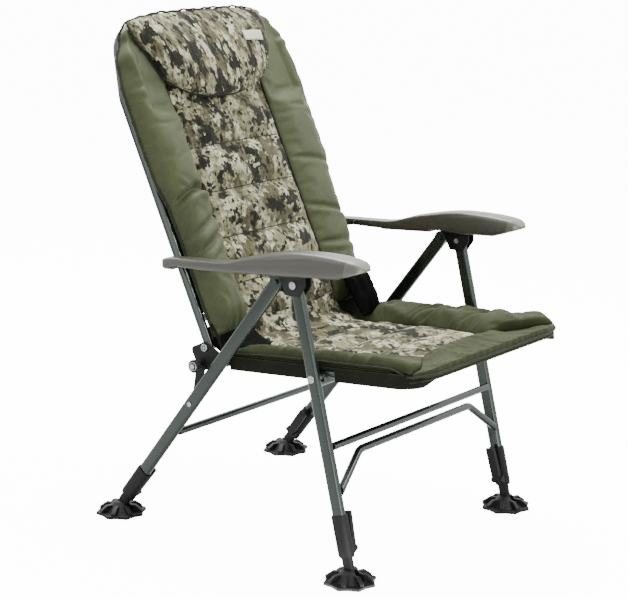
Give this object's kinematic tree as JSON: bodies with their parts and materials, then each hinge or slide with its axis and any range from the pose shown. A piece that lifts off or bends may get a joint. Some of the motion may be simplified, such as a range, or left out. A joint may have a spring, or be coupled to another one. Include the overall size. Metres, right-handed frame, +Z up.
{
  "type": "folding armchair",
  "caption": "Folding, reclining armchair for anglers with a padded seat and back, moulded arms, telescopic legs and swivelling mud feet",
  "frame": {"origin": "on the ground under the middle of the chair's box", "axes": "+Z up, -Y the way the sitter faces, +X the sitter's left"},
  "size_m": [0.6798, 0.8518, 1.0688],
  "materials": {
    "paint": "gloss",
    "plastic": "satin",
    "arm_plastic": "satin",
    "steel": "polished",
    "sling_cloth": "woven",
    "olive_cloth": "satin",
    "pattern_cloth": "fleece"
  },
  "bodies": {
    "seat": {"seat_frame": "paint", "seat_cross_bar": "paint", "hinge_plate_right": "plastic", "link_pin_right": "steel", "link_disc_right": "plastic", "seat_pivot_bolt_right": "steel", "seat_bolster_right": "olive_cloth", "hinge_plate_left": "plastic", "link_pin_left": "steel", "link_disc_left": "plastic", "seat_pivot_bolt_left": "steel", "seat_bolster_left": "olive_cloth", "seat_sling": "sling_cloth", "seat_panel": "pattern_cloth", "seat_front_band": "olive_cloth", "back_pivot_bolt_right": "steel", "back_pivot_bolt_left": "steel"},
    "link_right": {"link_right": "plastic"},
    "link_left": {"link_left": "plastic"},
    "backrest": {"back_frame": "paint", "back_sling": "sling_cloth", "back_panel": "pattern_cloth", "head_pillow": "pattern_cloth", "back_bolster_right": "olive_cloth", "rack_pin_right": "steel", "back_bolster_left": "olive_cloth", "rack_pin_left": "steel"},
    "arms": {"arm_right": "arm_plastic", "arm_bracket_right": "plastic", "front_arm_rivet_right": "steel", "rear_arm_rivet_right": "paint", "arm_left": "arm_plastic", "arm_bracket_left": "plastic", "front_arm_rivet_left": "steel", "rear_arm_rivet_left": "paint"},
    "front_legs": {"front_leg_right": "paint", "front_leg_left": "paint", "front_bar_upper": "paint", "front_bar_lower": "paint", "collar_front_right": "plastic", "collar_front_left": "plastic"},
    "cam_lever_front_right": {"cam_lever_front_right": "plastic"},
    "inner_leg_front_right": {"inner_leg_front_right": "plastic"},
    "cam_lever_front_left": {"cam_lever_front_left": "plastic"},
    "inner_leg_front_left": {"inner_leg_front_left": "plastic"},
    "mud_foot_front_right": {"mud_foot_front_right": "plastic"},
    "mud_foot_front_left": {"mud_foot_front_left": "plastic"},
    "rear_legs": {"rear_leg_right": "paint", "link_rivet_right": "steel", "rear_leg_left": "paint", "link_rivet_left": "steel", "rear_bar": "paint", "collar_rear_right": "plastic", "collar_rear_left": "plastic"},
    "cam_lever_rear_right": {"cam_lever_rear_right": "plastic"},
    "inner_leg_rear_right": {"inner_leg_rear_right": "plastic"},
    "cam_lever_rear_left": {"cam_lever_rear_left": "plastic"},
    "inner_leg_rear_left": {"inner_leg_rear_left": "plastic"},
    "mud_foot_rear_right": {"mud_foot_rear_right": "plastic"},
    "mud_foot_rear_left": {"mud_foot_rear_left": "plastic"}
  },
  "joints": [
    {"name": "fold", "type": "hinge", "parent": "seat", "child": "front_legs", "pos_m": [0, -0.18429, 0.404], "axis": [1, 0, 0], "range_deg": [0, 64]},
    {"name": "arm_turn", "type": "hinge", "parent": "front_legs", "child": "arms", "pos_m": [0, -0.13877, 0.588], "axis": [1, 0, 0], "range_deg": [-57.5, 0]},
    {"name": "rear_leg_turn", "type": "hinge", "parent": "arms", "child": "rear_legs", "pos_m": [0, -0.09177, 0.588], "axis": [1, 0, 0], "range_deg": [0, 14.8]},
    {"name": "recline", "type": "hinge", "parent": "seat", "child": "backrest", "pos_m": [0, 0.11452, 0.414], "axis": [1, 0, 0], "range_deg": [-12, 40]},
    {"name": "link_turn_right", "type": "hinge", "parent": "seat", "child": "link_right", "pos_m": [0, 0.12354, 0.37707], "axis": [1, 0, 0], "range_deg": [-76.7, 0]},
    {"name": "link_turn_left", "type": "hinge", "parent": "seat", "child": "link_left", "pos_m": [0, 0.12354, 0.37707], "axis": [1, 0, 0], "range_deg": [-76.7, 0]},
    {"name": "leg_slide_front_right", "type": "slide", "parent": "front_legs", "child": "inner_leg_front_right", "axis": [0, -0.2401, -0.9707], "range_m": [0, 0.11]},
    {"name": "foot_tilt_front_right", "type": "hinge", "parent": "inner_leg_front_right", "child": "mud_foot_front_right", "pos_m": [-0.285, -0.27977, 0.018], "axis": [1, 0, 0], "range_deg": [-15, 15]},
    {"name": "cam_front_right", "type": "hinge", "parent": "front_legs", "child": "cam_lever_front_right", "pos_m": [-0.2673, -0.268, 0.06557], "axis": [0, 0.9707, -0.2401], "range_deg": [0, 110]},
    {"name": "leg_slide_front_left", "type": "slide", "parent": "front_legs", "child": "inner_leg_front_left", "axis": [0, -0.2401, -0.9707], "range_m": [0, 0.11]},
    {"name": "foot_tilt_front_left", "type": "hinge", "parent": "inner_leg_front_left", "child": "mud_foot_front_left", "pos_m": [0.285, -0.27977, 0.018], "axis": [1, 0, 0], "range_deg": [-15, 15]},
    {"name": "cam_front_left", "type": "hinge", "parent": "front_legs", "child": "cam_lever_front_left", "pos_m": [0.2673, -0.268, 0.06557], "axis": [0, -0.9707, 0.2401], "range_deg": [0, 110]},
    {"name": "leg_slide_rear_right", "type": "slide", "parent": "rear_legs", "child": "inner_leg_rear_right", "axis": [0, 0.617, -0.787], "range_m": [0, 0.11]},
    {"name": "foot_tilt_rear_right", "type": "hinge", "parent": "inner_leg_rear_right", "child": "mud_foot_rear_right", "pos_m": [-0.285, 0.35515, 0.01794], "axis": [1, 0, 0], "range_deg": [-15, 15]},
    {"name": "cam_rear_right", "type": "hinge", "parent": "rear_legs", "child": "cam_lever_rear_right", "pos_m": [-0.2673, 0.32492, 0.0565], "axis": [0, 0.787, 0.617], "range_deg": [0, 110]},
    {"name": "leg_slide_rear_left", "type": "slide", "parent": "rear_legs", "child": "inner_leg_rear_left", "axis": [0, 0.617, -0.787], "range_m": [0, 0.11]},
    {"name": "foot_tilt_rear_left", "type": "hinge", "parent": "inner_leg_rear_left", "child": "mud_foot_rear_left", "pos_m": [0.285, 0.35515, 0.01794], "axis": [1, 0, 0], "range_deg": [-15, 15]},
    {"name": "cam_rear_left", "type": "hinge", "parent": "rear_legs", "child": "cam_lever_rear_left", "pos_m": [0.2673, 0.32492, 0.0565], "axis": [0, -0.787, -0.617], "range_deg": [0, 110]}
  ],
  "couplings": [
    {"joint": "arm_turn", "follows": "fold", "ratio": -0.897},
    {"joint": "rear_leg_turn", "follows": "fold", "ratio": 0.23},
    {"joint": "link_turn_right", "follows": "fold", "ratio": -1.197},
    {"joint": "link_turn_left", "follows": "fold", "ratio": -1.197}
  ]
}
